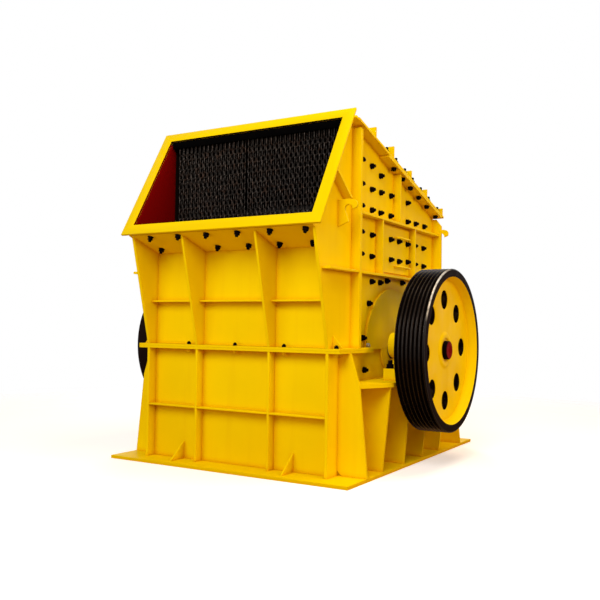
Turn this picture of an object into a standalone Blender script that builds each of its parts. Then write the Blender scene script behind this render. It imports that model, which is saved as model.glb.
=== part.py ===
"""Impact crusher: a welded plate housing with a chain-curtained feed mouth, a rotor and two wheels."""
import math

import bmesh
import bpy
from mathutils import Vector

# Driving sizes in metres. X is across the machine along the rotor, Y runs from front to rear, Z is up.
# A depth is measured behind the front edge of the base, and a reach outward from the side walls.
gap = 0.0003
half_width = 0.740
wall_thick = 0.020
rib_thick = 0.016
rib_reach = 0.060
base_length = 2.300
base_reach = 0.210
base_thick = 0.022
foot_margin = 0.262
cope = 0.030
flange_margin = 0.128
flange_reach = 0.079
flange_thick = 0.016
shaft_depth = 1.061
shaft_height = 0.810
shaft_opening = 0.100

# The upper housing, from the split at the shaft's height to the roof.
upper_front = 0.205
rear_margin = 0.380
joint_depth = 0.438
joint_reach = 0.066
tier_one = 1.328
tier_two = 1.722
tier_rib_depths = (0.806, 1.397)
top_rib_depth = 1.107
cover_front = 0.836
cover_low = 1.357
cover_high = 1.697
cover_thick = 0.012
handle_length = 0.219
handle_reach = 0.050
handle_radius = 0.007
hook_reach = 0.138

# The feed mouth and the chute floor under it.
mouth_overhang = 0.107
mouth_low = 1.587
mouth_rise = 0.059
mouth_reach = 0.060
mouth_top_depth = 0.354
mouth_bar = 0.080
mouth_thick = 0.016
floor_lip_depth = -0.088
floor_lip_height = 1.577
floor_end = 0.620
floor_end_height = 1.333
floor_thick = 0.016
liner_thick = 0.012
curtain_depth = 0.355
curtain_drop = 0.046
chain_pitch = 0.040
strand_width = 0.024
chain_bar_radius = 0.014

# The roof, as heights of its top face over the mouth's top edge and over the rear wall.
roof_start = 0.372
roof_height = 2.332
roof_rear_height = 1.8976
roof_overhang = 0.040
lid_start = 0.850
roof_rib_heights = (0.064, 0.080, 0.058, 0.056, 0.054)

# The bearing pedestals and the bearings.
shelf_drop = 0.206
shelf_thick = 0.029
shelf_reach = 0.260
shelf_corner_reach = 0.145
shelf_corner = 0.550
pedestal_rib_depths = (0.540, 0.900, 1.240, 1.590)
bearing_reach = 0.1755
bearing_width = 0.139
bearing_foot = 0.340
bearing_foot_height = 0.079
lug_reach = 0.184
lug_rise = 0.030
lug_radius = 0.087
dome_radius = 0.190
cover_radius = 0.430
cover_low_radius = 0.170

# The rotor and its wheels.
journal_radius = 0.065
hub_radius = 0.090
rotor_clear = 0.060
core_radius = 0.230
disc_radius = 0.410
disc_thick = 0.050
disc_count = 4
bar_root = 0.310
bar_tip = 0.480
bar_half = 0.040
apron_thick = 0.060
apron_clear = 0.090
apron_bend = 0.260
apron_drop = 0.550
apron_head = 0.140
wheel_radius = 0.567
pulley_reach = 0.278
pulley_width = 0.210
groove_pitch = 0.0286
groove_count = 7
flywheel_reach = 0.440
shaft_proud = 0.015
flywheel_width = 0.160
wheel_hole_radius = 0.063
wheel_hole_pitch = 0.355

# The origin is on the ground, midway between the mouth's front edge and the base's rear edge.
front_edge = -(base_length - mouth_overhang) / 2
inner_half = half_width - wall_thick
outer_half = half_width + flange_reach
base_half = half_width + base_reach
rib_x = 0.4 * half_width
rear_foot = base_length - foot_margin
flange_rear = base_length - flange_margin
upper_rear = base_length - rear_margin
split_low = shaft_height - flange_thick
split_high = shaft_height + flange_thick
cover_slack = 0.011
cover_start = shaft_depth - cover_radius - cover_slack
cover_end = shaft_depth + cover_radius + cover_slack
shaft_centre = (shaft_depth, shaft_height)
shelf_top = shaft_height - shelf_drop

# Slopes of the roof, the chute floor and the mouth.
roof_fall = (roof_height - roof_rear_height) / (upper_rear - mouth_top_depth)
roof_slab = flange_thick * math.sqrt(1 + roof_fall ** 2)
floor_fall = (floor_lip_height - floor_end_height) / (floor_end - floor_lip_depth)
floor_slab = floor_thick * math.sqrt(1 + floor_fall ** 2)
mouth_run = mouth_top_depth + mouth_overhang
mouth_climb = roof_height + mouth_rise - mouth_low
mouth_lean = math.atan2(mouth_climb, mouth_run)
mouth_length = math.hypot(mouth_climb, mouth_run)
hook_height = mouth_low + 0.251 * (roof_height - mouth_low)

for old in list(bpy.data.objects):
    bpy.data.objects.remove(old, do_unlink=True)

machine = bpy.data.collections.new("impact_crusher")
helpers = bpy.data.collections.new("cutters")
bpy.context.scene.collection.children.link(machine)
bpy.context.scene.collection.children.link(helpers)

# Colour, roughness and metallic value of each finish.
finishes = {
    "yellow": ((0.95, 0.58, 0.0), 0.35, 0.0),
    "red": ((0.18, 0.0, 0.0), 0.6, 0.0),
    "black": ((0.01, 0.01, 0.01), 0.35, 0.0),
    "steel": ((0.25, 0.25, 0.26), 0.4, 1.0),
    "chain": ((0.05, 0.05, 0.05), 0.45, 1.0),
}

facings = {
    "X": (math.pi / 2, 0, math.pi / 2),
    "Y": (math.pi / 2, 0, 0),
    "Z": (0, 0, 0),
}


def y_at(depth):
    """World Y of a depth."""
    return front_edge + depth


def paint(piece, finish):
    shade, roughness, metallic = finishes[finish]
    material = bpy.data.materials.new(piece.name)
    material.use_nodes = True
    shader = material.node_tree.nodes["Principled BSDF"]
    shader.inputs["Base Color"].default_value = (*shade, 1.0)
    shader.inputs["Roughness"].default_value = roughness
    shader.inputs["Metallic"].default_value = metallic
    piece.data.materials.clear()
    piece.data.materials.append(material)


def round_off(mesh):
    """Smooth shading on round stretches, with sharp edges kept."""
    mesh.shade_smooth()
    mesh.set_sharp_from_angle(angle=math.radians(30))


def cutter(piece):
    machine.objects.unlink(piece)
    helpers.objects.link(piece)
    piece.hide_render = True
    piece.display_type = "WIRE"


def combine(piece, others, operation="UNION"):
    """Adds pieces to a piece, or cuts them from it."""
    for other in others:
        cutter(other)
        change = piece.modifiers.new(other.name, "BOOLEAN")
        change.operation = operation
        change.object = other


def meshed(drawn):
    """A curve, or a piece with modifiers, as a welded mesh piece in the same place."""
    graph = bpy.context.evaluated_depsgraph_get()
    mesh = bpy.data.meshes.new_from_object(drawn.evaluated_get(graph))
    shape = bmesh.new()
    shape.from_mesh(mesh)
    bmesh.ops.remove_doubles(shape, verts=shape.verts, dist=0.00005)
    bmesh.ops.recalc_face_normals(shape, faces=shape.faces)
    shape.to_mesh(mesh)
    shape.free()
    round_off(mesh)
    name = drawn.name.removesuffix("_drawn")
    piece = bpy.data.objects.new(name, mesh)
    piece.matrix_world = drawn.matrix_world.copy()
    machine.objects.link(piece)
    bpy.data.objects.remove(drawn, do_unlink=True)
    return piece


def block(name, low, high):
    """A box between two corners."""
    shape = bmesh.new()
    bmesh.ops.create_cube(shape, size=1.0)
    bmesh.ops.scale(shape, vec=Vector(high) - Vector(low), verts=shape.verts)
    mesh = bpy.data.meshes.new(name)
    shape.to_mesh(mesh)
    shape.free()
    piece = bpy.data.objects.new(name, mesh)
    piece.location = (Vector(high) + Vector(low)) / 2
    machine.objects.link(piece)
    return piece


def cylinder(name, radius, length, place, sides=32):
    """A round bar along X."""
    shape = bmesh.new()
    bmesh.ops.create_cone(shape, cap_ends=True, segments=sides, radius1=radius, radius2=radius, depth=length)
    mesh = bpy.data.meshes.new(name)
    shape.to_mesh(mesh)
    shape.free()
    round_off(mesh)
    piece = bpy.data.objects.new(name, mesh)
    piece.rotation_euler = (0, math.pi / 2, 0)
    piece.location = place
    machine.objects.link(piece)
    return piece


def turned(name, profile, place, sides=64, closed=True, flip=False):
    """A profile of (radius, height) points turned about X; height runs along +X, or along -X when flipped."""
    shape = bmesh.new()
    corners = [shape.verts.new((radius, 0, height)) for radius, height in profile]
    for first, second in zip(corners, corners[1:]):
        shape.edges.new((first, second))
    if closed:
        shape.edges.new((corners[-1], corners[0]))
    mesh = bpy.data.meshes.new(name)
    shape.to_mesh(mesh)
    shape.free()
    drawn = bpy.data.objects.new(name + "_drawn", mesh)
    spin = drawn.modifiers.new("turn", "SCREW")
    spin.axis = "Z"
    spin.steps = sides
    spin.render_steps = sides
    spin.use_merge_vertices = True
    spin.merge_threshold = 0.0001
    bpy.context.scene.collection.objects.link(drawn)
    piece = meshed(drawn)
    piece.rotation_euler = (0, -math.pi / 2 if flip else math.pi / 2, 0)
    piece.location = place
    return piece


def arc(centre, radius, start, end, steps=16):
    """Points along an arc, angles in degrees."""
    angles = [math.radians(start + (end - start) * step / steps) for step in range(steps + 1)]
    return [(centre[0] + radius * math.cos(angle), centre[1] + radius * math.sin(angle)) for angle in angles]


def plate(name, outline, thick, facing, middle, holes=(), turn=None, place=None):
    """A flat plate cut to an outline. It faces an axis, with its mid-plane at a place along it.

    Outlines are (y, z) points for a plate facing X, (x, z) for Y and (x, y) for Z.
    """
    curve = bpy.data.curves.new(name, "CURVE")
    curve.dimensions = "2D"
    curve.fill_mode = "BOTH"
    curve.extrude = thick / 2
    for points in (outline, *holes):
        spline = curve.splines.new("POLY")
        spline.points.add(len(points) - 1)
        for point, (first, second) in zip(spline.points, points):
            point.co = (first, second, 0, 1)
        spline.use_cyclic_u = True
    drawn = bpy.data.objects.new(name + "_drawn", curve)
    drawn.rotation_euler = turn or facings[facing]
    drawn.location = place or {"X": (middle, 0, 0), "Y": (0, middle, 0), "Z": (0, 0, middle)}[facing]
    bpy.context.scene.collection.objects.link(drawn)
    return meshed(drawn)


def tube(name, points, radius):
    """A bent round bar through a list of points."""
    curve = bpy.data.curves.new(name, "CURVE")
    curve.dimensions = "3D"
    curve.bevel_depth = radius
    curve.bevel_resolution = 2
    curve.use_fill_caps = True
    spline = curve.splines.new("POLY")
    spline.points.add(len(points) - 1)
    for point, place in zip(spline.points, points):
        point.co = (*place, 1)
    drawn = bpy.data.objects.new(name + "_drawn", curve)
    bpy.context.scene.collection.objects.link(drawn)
    return meshed(drawn)


def rectangle(low, high):
    return [(low[0], low[1]), (high[0], low[1]), (high[0], high[1]), (low[0], high[1])]


def deep(points):
    """Moves (depth, z) points to world (y, z)."""
    return [(y_at(depth), height) for depth, height in points]


def across(side, points):
    """Puts (reach, z) or (reach, y) points on the left or the right of the housing, as (x, z) or (x, y)."""
    return [(side * (half_width + reach), other) for reach, other in points]


def roof_under(depth):
    """Height of the roof's lower face."""
    return roof_height - roof_fall * (depth - mouth_top_depth) - roof_slab


def floor_under(depth):
    """Height of the chute floor's lower face."""
    return floor_lip_height - floor_fall * (depth - floor_lip_depth)


def behind_mouth(distance, inset=mouth_thick + gap):
    """A (depth, z) point on the mouth frame's rear face, this far up from its lower edge."""
    depth = -mouth_overhang + distance * math.cos(mouth_lean) + inset * math.sin(mouth_lean)
    height = mouth_low + distance * math.sin(mouth_lean) - inset * math.cos(mouth_lean)
    return (depth, height)


def base():
    near = y_at(foot_margin + wall_thick)
    far = y_at(rear_foot - wall_thick)
    opening = rectangle((-inner_half, near), (inner_half, far))
    outline = rectangle((-base_half, y_at(0)), (base_half, y_at(base_length)))
    piece = plate("base_flange", outline, base_thick, "Z", base_thick / 2, holes=[opening])
    paint(piece, "yellow")


def lower_panel(name, face, inward):
    """The front or rear wall of the lower housing, with its ribs, a cross rib and two foot gussets."""
    low = base_thick + gap
    high = split_low - gap
    root = face + inward * wall_thick / 4
    side = inner_half - gap
    near, far = sorted((y_at(face), y_at(face + inward * wall_thick)))
    wall = block(name, (-side, near, low), (side, far, high))
    edge = face - inward * (foot_margin - flange_margin)
    additions = []
    near, far = sorted((y_at(edge), y_at(root)))
    for x in (-rib_x, rib_x):
        rib_low = (x - rib_thick / 2, near, low)
        additions.append(block(f"{name}_rib_{x}", rib_low, (x + rib_thick / 2, far, high)))
        foot = [(face - inward * 0.7 * foot_margin, low), (root, low), (root, low + 0.4 * foot_margin)]
        additions.append(plate(f"{name}_gusset_{x}", deep(foot), 0.75 * rib_thick, "X", 1.52 * x))
    near, far = sorted((y_at(face - inward * 0.8 * flange_margin), y_at(root)))
    side -= wall_thick / 20
    low = 0.478 * shaft_height
    additions.append(block(f"{name}_band", (-side, near, low), (side, far, low + 0.75 * rib_thick)))
    combine(wall, additions)
    paint(wall, "yellow")


def lower_side(name, side):
    """A side wall of the lower housing; its ends stand proud of the front and rear walls as outer ribs."""
    low = base_thick + gap
    step = split_low - gap
    top = shaft_height - gap
    fall = math.degrees(math.asin(gap / shaft_opening))
    outline = [
        (flange_margin, low), (flange_margin, step), (cover_start, step), (cover_start, top),
        *arc(shaft_centre, shaft_opening, 180 + fall, 360 - fall),
        (cover_end, top), (cover_end, step), (flange_rear, step), (flange_rear, low),
    ]
    piece = plate(name, deep(outline), wall_thick, "X", side * (half_width - wall_thick / 2))
    paint(piece, "yellow")


def split_flange(name, outer_depth, inner_depth, wall_depth, height):
    """One of the flange plates at the housing's split, a U around the front or the rear."""
    outline = [
        (-outer_half, y_at(outer_depth)), (outer_half, y_at(outer_depth)), (outer_half, y_at(inner_depth)),
        (inner_half, y_at(inner_depth)), (inner_half, y_at(wall_depth)), (-inner_half, y_at(wall_depth)),
        (-inner_half, y_at(inner_depth)), (-outer_half, y_at(inner_depth)),
    ]
    piece = plate(name, outline, flange_thick - gap, "Z", height)
    paint(piece, "yellow")


def pedestal(name, side):
    """The shelf that carries a bearing, on four tapered ribs between two wing plates."""
    low = base_thick + gap
    under = shelf_top - shelf_thick
    inset = rib_thick / 4
    shelf = [
        (gap, y_at(foot_margin + inset)), (shelf_corner_reach, y_at(foot_margin + inset)),
        (shelf_reach, y_at(shelf_corner)), (shelf_reach, y_at(base_length - shelf_corner)),
        (shelf_corner_reach, y_at(rear_foot - inset)), (gap, y_at(rear_foot - inset)),
    ]
    body = plate(name, across(side, shelf), shelf_thick, "Z", shelf_top - shelf_thick / 2)
    rib = [
        (cope, low), (0.90 * base_reach, low), (shelf_reach - rib_thick, under + inset), (gap, under + inset),
        (gap, low + cope),
    ]
    wing = [
        (cope, low), (base_reach, low), (0.58 * shelf_reach, 0.985 * shelf_top),
        (1.11 * flange_reach, split_low - gap), (0.8 * flange_reach, split_low - gap),
        (gap, split_low - cope), (gap, low + cope),
    ]
    additions = []
    for depth in pedestal_rib_depths:
        additions.append(plate(f"{name}_rib_{depth}", across(side, rib), rib_thick, "Y", y_at(depth)))
    for depth in (foot_margin + rib_thick / 2, rear_foot - rib_thick / 2):
        additions.append(plate(f"{name}_wing_{depth}", across(side, wing), rib_thick, "Y", y_at(depth)))
    combine(body, additions)
    paint(body, "yellow")


def upper_front_panel():
    """The wall under the chute floor, with two ribs that rise to the mouth and a cross rib."""
    low = split_high + gap
    wall_back = upper_front + wall_thick
    side = inner_half - gap
    outline = [
        (upper_front, low), (upper_front, floor_under(upper_front) - gap),
        (wall_back, floor_under(wall_back) - gap), (wall_back, low),
    ]
    wall = plate("upper_front_panel", deep(outline), 2 * side, "X", 0)
    root = upper_front + wall_thick / 4
    top = floor_under(root) - wall_thick / 10
    lip = floor_lip_depth + 2 * rib_thick
    rib = [(flange_margin, low), (lip, floor_under(lip) - gap), (root, top), (root, low)]
    additions = [plate(f"upper_front_rib_{x}", deep(rib), rib_thick, "X", x) for x in (-rib_x, rib_x)]
    side -= wall_thick / 20
    middle = 0.85 * tier_one
    near = y_at(upper_front - 0.8 * flange_reach)
    low_edge = middle - 0.375 * rib_thick
    high_edge = low_edge + 0.75 * rib_thick
    additions.append(block("upper_front_band", (-side, near, low_edge), (side, y_at(root), high_edge)))
    combine(wall, additions)
    paint(wall, "yellow")


def mouth():
    """The frame around the feed mouth, a leaning plate with a window."""
    mouth_half = half_width + mouth_reach
    outer = rectangle((-mouth_half, 0), (mouth_half, mouth_length))
    window = rectangle((mouth_bar - mouth_half, mouth_bar), (mouth_half - mouth_bar, mouth_length - mouth_bar))
    depth, height = behind_mouth(0, mouth_thick / 2)
    place = (0, y_at(depth), height)
    lean = (mouth_lean, 0, 0)
    piece = plate("mouth_frame", outer, mouth_thick, "Z", 0, holes=[window], turn=lean, place=place)
    paint(piece, "yellow")


def chute_floor():
    start = floor_lip_depth
    bevel = start + floor_thick * math.cos(mouth_lean)
    outline = [
        (start, floor_under(start)), (floor_end, floor_under(floor_end)),
        (floor_end, floor_under(floor_end) + floor_slab), (bevel, floor_under(bevel) + floor_slab),
    ]
    piece = plate("chute_floor", deep(outline), 2 * (inner_half - gap), "X", 0)
    paint(piece, "yellow")


def post(name, side, near, far, top, reach=joint_reach, chamfer=0.0):
    """An upright flange on a side wall, its top outer corner cut when a chamfer is given."""
    root = -wall_thick / 4
    low = split_high + gap
    outline = [(root, low), (reach, low), (reach, top - chamfer)]
    if chamfer:
        outline.append((reach - 0.8 * chamfer, top))
    outline.append((root, top))
    return plate(name, across(side, outline), far - near, "Y", y_at((near + far) / 2))


def ledge(name, side, near, far, height):
    """A flat rib along a side wall."""
    low = height - rib_thick / 2
    x_low, x_high = sorted((side * (half_width - wall_thick / 4), side * (half_width + rib_reach)))
    return block(name, (x_low, y_at(near), low), (x_high, y_at(far), low + rib_thick))


def upright(name, side, depth, low, high):
    """An upright rib on a side wall."""
    reach = rib_reach - rib_thick / 16
    x_low, x_high = sorted((side * (half_width - wall_thick / 4), side * (half_width + reach)))
    return block(name, (x_low, y_at(depth - rib_thick / 2), low), (x_high, y_at(depth + rib_thick / 2), high))


def hook(name, side, depth, thick):
    """A lifting claw that reaches out from a side wall and curls down at its tip."""
    root = -wall_thick / 4
    outline = [(root, 0), (0.76 * hook_reach, -0.04 * hook_reach)]
    outline += arc((0.77 * hook_reach, -0.28 * hook_reach), 0.23 * hook_reach, 75, -35, 6)
    outline += arc((0.56 * hook_reach, -0.45 * hook_reach), 0.20 * hook_reach, -10, 180, 8)
    outline += [(0.54 * hook_reach, -1.05 * hook_reach), (root, -1.28 * hook_reach)]
    outline = [(reach, hook_height + height) for reach, height in outline]
    return plate(name, across(side, outline), thick, "Y", y_at(depth))


def strut(name, side):
    """The flat rib that runs down from the back of the mouth frame to the front hook."""
    start = 0.453 * mouth_length
    inset = mouth_thick + wall_thick / 10
    end = joint_depth - 1.4 * flange_reach
    height = hook_height + 1.2 * rib_thick
    outline = [
        behind_mouth(start - rib_thick / 2, inset), (end - 1.75 * rib_thick, height), (end, height),
        behind_mouth(start + rib_thick / 2, inset),
    ]
    reach = rib_reach + wall_thick / 4
    return plate(name, deep(outline), reach, "X", side * (half_width + rib_reach - reach / 2))


def flange_gusset(name, side, depth):
    """A small triangle between the split flange and a side wall."""
    low = split_high + gap
    outline = [(-wall_thick / 4, low), (0.95 * flange_reach, low), (-wall_thick / 4, low + 1.1 * flange_reach)]
    return plate(name, across(side, outline), rib_thick / 2, "Y", y_at(depth))


def hopper_side(name, side):
    """A side wall of the front section, from the split up to the mouth and the roof."""
    low = split_high + gap
    joint = joint_depth - gap
    lip = floor_lip_depth + 2 * rib_thick
    tip = floor_lip_depth + 0.15 * wall_thick
    outline = [
        (flange_margin, low), (lip, floor_under(lip) - gap), (tip, floor_under(tip) - gap),
        behind_mouth(wall_thick / 2), behind_mouth(mouth_length - 1.1 * wall_thick),
        (roof_start, roof_under(roof_start) - gap), (joint, roof_under(joint) - gap), (joint, low),
    ]
    wall = plate(name, deep(outline), wall_thick, "X", side * (half_width - wall_thick / 2))
    additions = [
        post(f"{name}_post", side, joint_depth - flange_thick, joint, roof_under(joint_depth) - flange_thick),
        ledge(f"{name}_ledge", side, cope, joint_depth - flange_thick / 2, tier_one),
        hook(f"{name}_hook", side, 0.54 * joint_depth, rib_thick),
        strut(f"{name}_strut", side),
        flange_gusset(f"{name}_gusset", side, upper_front - rib_thick),
    ]
    combine(wall, additions)
    paint(wall, "yellow")


def rear_side(name, side):
    """A side wall of the rear section, around the upper half of the shaft opening."""
    low = split_high + gap
    step = shaft_height + gap
    start = joint_depth + gap
    rise = math.degrees(math.asin(gap / shaft_opening))
    outline = [
        (start, low), (cover_start, low), (cover_start, step),
        *arc(shaft_centre, shaft_opening, 180 - rise, rise),
        (cover_end, step), (cover_end, low), (upper_rear, low),
        (upper_rear, roof_under(upper_rear) - gap), (start, roof_under(start) - gap),
    ]
    wall = plate(name, deep(outline), wall_thick, "X", side * (half_width - wall_thick / 2))
    ledge_start = joint_depth + flange_thick / 2
    ledge_end = upper_rear - flange_thick / 4
    rear_top = roof_under(upper_rear) - roof_slab - rib_thick / 2
    roof_edge = roof_under(top_rib_depth + rib_thick) - roof_slab
    joint_top = roof_under(joint_depth) - 1.4 * flange_thick
    rear_cut = 0.73 * flange_reach
    additions = [
        post(f"{name}_post", side, start, joint_depth + flange_thick, joint_top),
        ledge(f"{name}_ledge_one", side, ledge_start, ledge_end, tier_one),
        ledge(f"{name}_ledge_two", side, ledge_start, ledge_end, tier_two),
        post(f"{name}_rear_post", side, upper_rear - flange_thick, upper_rear, rear_top, flange_reach, rear_cut),
        hook(f"{name}_hook", side, upper_rear - flange_thick / 2, 0.875 * flange_thick),
        upright(f"{name}_top_rib", side, top_rib_depth, tier_two, roof_edge),
    ]
    for depth in tier_rib_depths:
        additions.append(upright(f"{name}_rib_{depth}", side, depth, tier_one, tier_two))
    combine(wall, additions)
    paint(wall, "yellow")


def inspection_cover(word, side):
    """A cover plate with two handles, between the upright ribs of a side wall."""
    rear = tier_rib_depths[1] - rib_thick
    outline = deep(rectangle((cover_front, cover_low), (rear, cover_high)))
    face = half_width + gap + cover_thick
    piece = plate(f"inspection_cover_{word}", outline, cover_thick, "X", side * (face - cover_thick / 2))
    bend = 2 * handle_radius
    out = half_width + handle_reach
    handles = []
    for level in (0.147, 0.776):
        height = cover_low + level * (cover_high - cover_low)
        start = rear - 1.27 * handle_length
        end = start + handle_length
        turns = arc((start + bend, out - bend), bend, 180, 90, 3)
        turns += arc((end - bend, out - bend), bend, 90, 0, 3)
        path = [(start, face - cover_thick / 2), *turns, (end, face - cover_thick / 2)]
        points = [(side * x, y_at(depth), height) for depth, x in path]
        handles.append(tube(f"{piece.name}_handle_{level}", points, handle_radius))
    combine(piece, handles)
    paint(piece, "yellow")


def rear_panel():
    """The rear wall of the upper housing, with two ribs and a cross rib."""
    low = split_high + gap
    side = inner_half - gap
    front = upper_rear - wall_thick
    root = upper_rear - wall_thick / 4
    edge = upper_rear + rib_reach
    outline = [
        (front, low), (upper_rear, low),
        (upper_rear, roof_under(upper_rear) - gap), (front, roof_under(front) - gap),
    ]
    wall = plate("rear_panel", deep(outline), 2 * side, "X", 0)
    top = tier_two + 2 * rib_thick
    rib = [(root, low), (flange_rear, low), (edge, top), (root, top)]
    additions = [plate(f"rear_rib_{x}", deep(rib), rib_thick, "X", x) for x in (-rib_x, rib_x)]
    side -= wall_thick / 20
    low = 0.92 * tier_one
    additions.append(block("rear_band", (-side, y_at(root), low), (side, y_at(edge), low + 0.75 * rib_thick)))
    combine(wall, additions)
    paint(wall, "yellow")


def roof_piece(name, start, end, rib_depths, rib_heights):
    """A stretch of the sloping roof plate with its cross ribs."""
    outline = [
        (start, roof_under(start)), (end, roof_under(end)),
        (end, roof_under(end) + roof_slab), (start, roof_under(start) + roof_slab),
    ]
    sheet = plate(name, deep(outline), 2 * outer_half, "X", 0)
    ribs = []
    for depth, rib_height in zip(rib_depths, rib_heights):
        top = roof_under(depth) + roof_slab
        low = (-outer_half, y_at(depth - rib_thick / 2), top - flange_thick / 2)
        high = (outer_half, y_at(depth + rib_thick / 2), top + rib_height)
        ribs.append(block(f"{name}_rib_{depth}", low, high))
    combine(sheet, ribs)
    paint(sheet, "yellow")


def roof():
    """The roof's welded front stretch, the bolted lid behind it, and the flanges under the lid's edges."""
    roof_end = upper_rear + roof_overhang
    front_rib = roof_start + 0.53 * (lid_start - roof_start)
    lid_ribs = [lid_start + share * (roof_end - lid_start) for share in (0.070, 0.367, 0.655, 0.973)]
    roof_piece("roof_front", roof_start, lid_start - gap, [front_rib], roof_rib_heights)
    roof_piece("roof_lid", lid_start + gap, roof_end, lid_ribs, roof_rib_heights[1:])
    for word, side in (("left", -1), ("right", 1)):
        edge = [
            (lid_start, roof_under(lid_start) - gap), (upper_rear, roof_under(upper_rear) - gap),
            (upper_rear, roof_under(upper_rear) - gap - roof_slab),
            (lid_start, roof_under(lid_start) - gap - roof_slab),
        ]
        middle = side * (half_width + gap + outer_half) / 2
        piece = plate(f"roof_flange_{word}", deep(edge), outer_half - half_width - gap, "X", middle)
        paint(piece, "yellow")


def shaft_cover(name, side, upper):
    """One half of the plate that closes the shaft opening."""
    radius = cover_radius if upper else cover_low_radius
    shift = gap if upper else -gap
    start, end = (0, 180) if upper else (180, 360)
    bore = 1.15 * journal_radius
    centre = (shaft_depth, shaft_height + shift)
    outline = arc(centre, radius, start, end, 32) + arc(centre, bore, end, start, 16)
    piece = plate(name, deep(outline), rib_thick, "X", side * (half_width + gap + rib_thick / 2))
    paint(piece, "yellow")


def bearing(word, side):
    """A split bearing housing: the lower half on its feet, and the domed cap, with round lugs at the split."""
    middle = side * (half_width + bearing_reach)
    bore = journal_radius + 0.0004
    low = shelf_top + gap
    foot_top = shelf_top + bearing_foot_height
    right = (shaft_depth + lug_reach, shaft_height + lug_rise)
    left = (shaft_depth - lug_reach, shaft_height + lug_rise)
    below = math.degrees(math.asin((lug_rise + gap) / lug_radius))
    above = math.degrees(math.asin((lug_rise - gap) / lug_radius))
    under = (shaft_depth, shaft_height - gap)
    outline = [
        (shaft_depth - bearing_foot, low), (shaft_depth + bearing_foot, low),
        (shaft_depth + bearing_foot, foot_top), (shaft_depth + lug_reach, foot_top),
        *arc(right, lug_radius, -90, -below, 6),
        *arc(under, bore, 360, 180, 32),
        *arc(left, lug_radius, 180 + below, 270, 6), (shaft_depth - lug_reach, foot_top),
        (shaft_depth - bearing_foot, foot_top),
    ]
    lower = plate(f"bearing_base_{word}", deep(outline), bearing_width, "X", middle)
    paint(lower, "yellow")

    # The lug's circle meets the dome's where the triangle of the two centres and the meeting point closes.
    spread = math.hypot(lug_reach, lug_rise)
    lean = math.degrees(math.atan2(lug_rise, lug_reach))
    lug_turn = (spread ** 2 + lug_radius ** 2 - dome_radius ** 2) / (2 * spread * lug_radius)
    dome_turn = (spread ** 2 + dome_radius ** 2 - lug_radius ** 2) / (2 * spread * dome_radius)
    lug_stop = 180 + lean - math.degrees(math.acos(lug_turn))
    dome_stop = lean + math.degrees(math.acos(dome_turn))
    over = (shaft_depth, shaft_height + gap)
    outline = [
        *arc(over, bore, 180, 0, 32),
        *arc(right, lug_radius, -above, lug_stop, 10),
        *arc(shaft_centre, dome_radius, dome_stop, 180 - dome_stop)[1:-1],
        *arc(left, lug_radius, 180 - lug_stop, 180 + above, 10),
    ]
    cap = plate(f"bearing_cap_{word}", deep(outline), bearing_width, "X", middle)
    paint(cap, "yellow")


def liners():
    """Wear plates on the inside of the chute and the chamber."""
    slack = liner_thick / 3
    front = floor_end + wall_thick
    rear = upper_rear - 1.5 * wall_thick
    low = split_high + 1.7 * wall_thick
    top = roof_start + 1.4 * wall_thick
    for word, side in (("left", -1), ("right", 1)):
        outline = [
            behind_mouth(3 * wall_thick, mouth_thick + slack),
            behind_mouth(mouth_length - 4 * wall_thick, mouth_thick + slack),
            (top, roof_under(top) - slack), (rear, roof_under(rear) - slack), (rear, low),
            *arc(shaft_centre, shaft_opening, 30, 150, 8), (front, low),
            (front, floor_under(front) + floor_slab + slack),
        ]
        middle = side * (inner_half - gap - liner_thick / 2)
        piece = plate(f"side_liner_{word}", deep(outline), liner_thick, "X", middle)
        paint(piece, "red")
    start = floor_lip_depth + 1.9 * wall_thick
    end = floor_end - wall_thick / 2
    lift = floor_slab + gap
    outline = [
        (start, floor_under(start) + lift), (end, floor_under(end) + lift),
        (end, floor_under(end) + lift + liner_thick), (start, floor_under(start) + lift + liner_thick),
    ]
    piece = plate("floor_liner", deep(outline), 2 * (inner_half - liner_thick - 3 * gap), "X", 0)
    paint(piece, "red")


def curtain():
    """The bar behind the mouth's upper edge and the chains that hang from it."""
    half = inner_half - liner_thick - 3 * gap
    bar_height = roof_height - curtain_drop
    bar = cylinder("chain_bar", chain_bar_radius, 2 * half, (0, y_at(curtain_depth), bar_height))
    paint(bar, "steel")
    top = bar_height - chain_bar_radius - gap
    under = top - strand_width
    bottom = floor_under(curtain_depth) + floor_slab + liner_thick + chain_pitch
    count = int((2 * half - strand_width) / chain_pitch) + 1
    first = -chain_pitch * (count - 1) / 2
    outline = []
    for index in range(count):
        left = first + index * chain_pitch - strand_width / 2
        right = left + strand_width
        outline += [(left, under), (left, bottom), (right, bottom), (right, under)]
    outline += [(strand_width / 2 - first, top), (first - strand_width / 2, top)]
    piece = plate("chain_curtain", outline, strand_width / 3, "Y", y_at(curtain_depth))
    paint(piece, "chain")


def apron(name, pivot, path):
    """A hinged wear wall inside the chamber: a bent plate that hangs from a pivot bar."""
    half = inner_half - liner_thick - 3 * gap
    bar = cylinder(name, 0.75 * apron_thick, 2 * half, (0, y_at(pivot[0]), pivot[1]), sides=24)
    front = [(depth - apron_thick / 2, height) for depth, height in path]
    back = [(depth + apron_thick / 2, height + apron_thick / 3) for depth, height in reversed(path)]
    combine(bar, [plate(f"{name}_wall", deep(front + back), 2 * half - wall_thick / 2, "X", 0)])
    paint(bar, "steel")


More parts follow.
